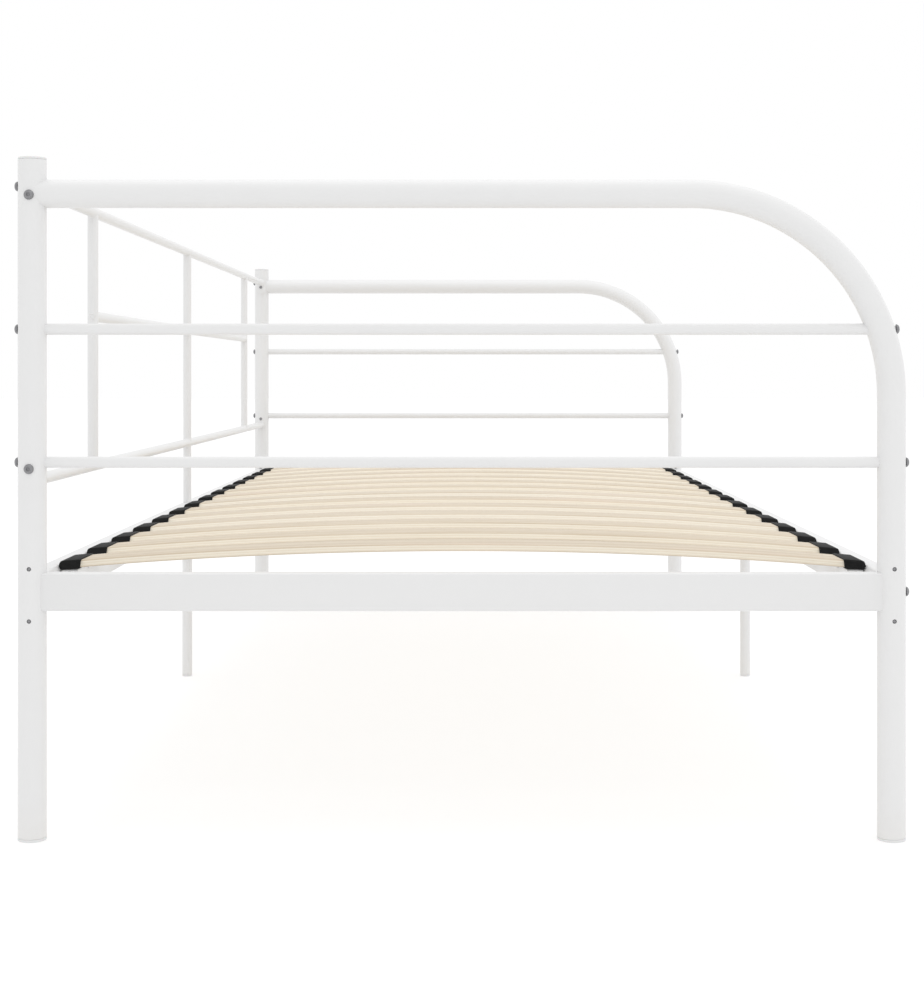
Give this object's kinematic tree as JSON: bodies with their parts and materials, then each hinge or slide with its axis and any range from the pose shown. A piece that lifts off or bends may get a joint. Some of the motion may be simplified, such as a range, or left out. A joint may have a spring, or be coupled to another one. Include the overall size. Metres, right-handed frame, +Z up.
{
  "type": "daybed",
  "caption": "Single daybed of white steel tube with arched ends, a barred backrest along one side, and bowed wooden slats in plastic caps on two side rails.",
  "frame": {"origin": "on the floor, under the middle of the bed's outline", "axes": "+Z up, +X along the length, +Y from the open front side to the backrest"},
  "size_m": [2.0766, 0.9476, 0.723],
  "materials": {
    "white_powder_coat": "smooth satin white powder coat on steel",
    "white_plastic": "fine satin white polyethylene",
    "black_plastic": "moulded matte black polypropylene",
    "birch_ply": "pale bent birch plywood, thin clear lacquer",
    "zinc_steel": "dull grey zinc-plated steel"
  },
  "bodies": {
    "root": {"back_leg_stud": "zinc_steel", "back_middle_leg": "white_powder_coat", "back_side_rail": "white_powder_coat", "back_slat_caps": "black_plastic", "backrest_bolts": "zinc_steel", "backrest_bottom_rail": "white_powder_coat", "backrest_centre_strut": "white_powder_coat", "backrest_centre_upright": "white_powder_coat", "backrest_left_bar": "white_powder_coat", "backrest_left_upright": "white_powder_coat", "backrest_right_bar": "white_powder_coat", "backrest_right_upright": "white_powder_coat", "backrest_saddles": "white_powder_coat", "backrest_strut_insert": "zinc_steel", "backrest_top_rail": "white_powder_coat", "cap_brackets": "white_powder_coat", "front_leg_rivet_nut": "zinc_steel", "front_leg_stud": "zinc_steel", "front_middle_leg": "white_powder_coat", "front_side_rail": "white_powder_coat", "front_slat_caps": "black_plastic", "left_arm_plug": "zinc_steel", "left_arm_tube": "white_powder_coat", "left_back_post": "white_powder_coat", "left_bar_inserts": "zinc_steel", "left_cross_rail": "white_powder_coat", "left_end_bolts": "zinc_steel", "left_middle_bar": "white_powder_coat", "left_post_cap": "white_plastic", "left_rail_plug": "zinc_steel", "left_upper_bar": "white_powder_coat", "middle_leg_feet": "white_plastic", "middle_leg_plugs": "zinc_steel", "post_feet": "white_plastic", "right_arm_plug": "zinc_steel", "right_arm_tube": "white_powder_coat", "right_back_post": "white_powder_coat", "right_bar_inserts": "zinc_steel", "right_cross_rail": "white_powder_coat", "right_end_bolts": "zinc_steel", "right_middle_bar": "white_powder_coat", "right_post_cap": "white_plastic", "right_rail_plug": "zinc_steel", "right_upper_bar": "white_powder_coat", "side_rail_bolts": "zinc_steel", "side_rail_saddles": "white_powder_coat", "slat_01": "birch_ply", "slat_02": "birch_ply", "slat_03": "birch_ply", "slat_04": "birch_ply", "slat_05": "birch_ply", "slat_06": "birch_ply", "slat_07": "birch_ply", "slat_08": "birch_ply", "slat_09": "birch_ply", "slat_10": "birch_ply", "slat_11": "birch_ply", "slat_12": "birch_ply", "slat_13": "birch_ply", "slat_14": "birch_ply"}
  },
  "joints": []
}
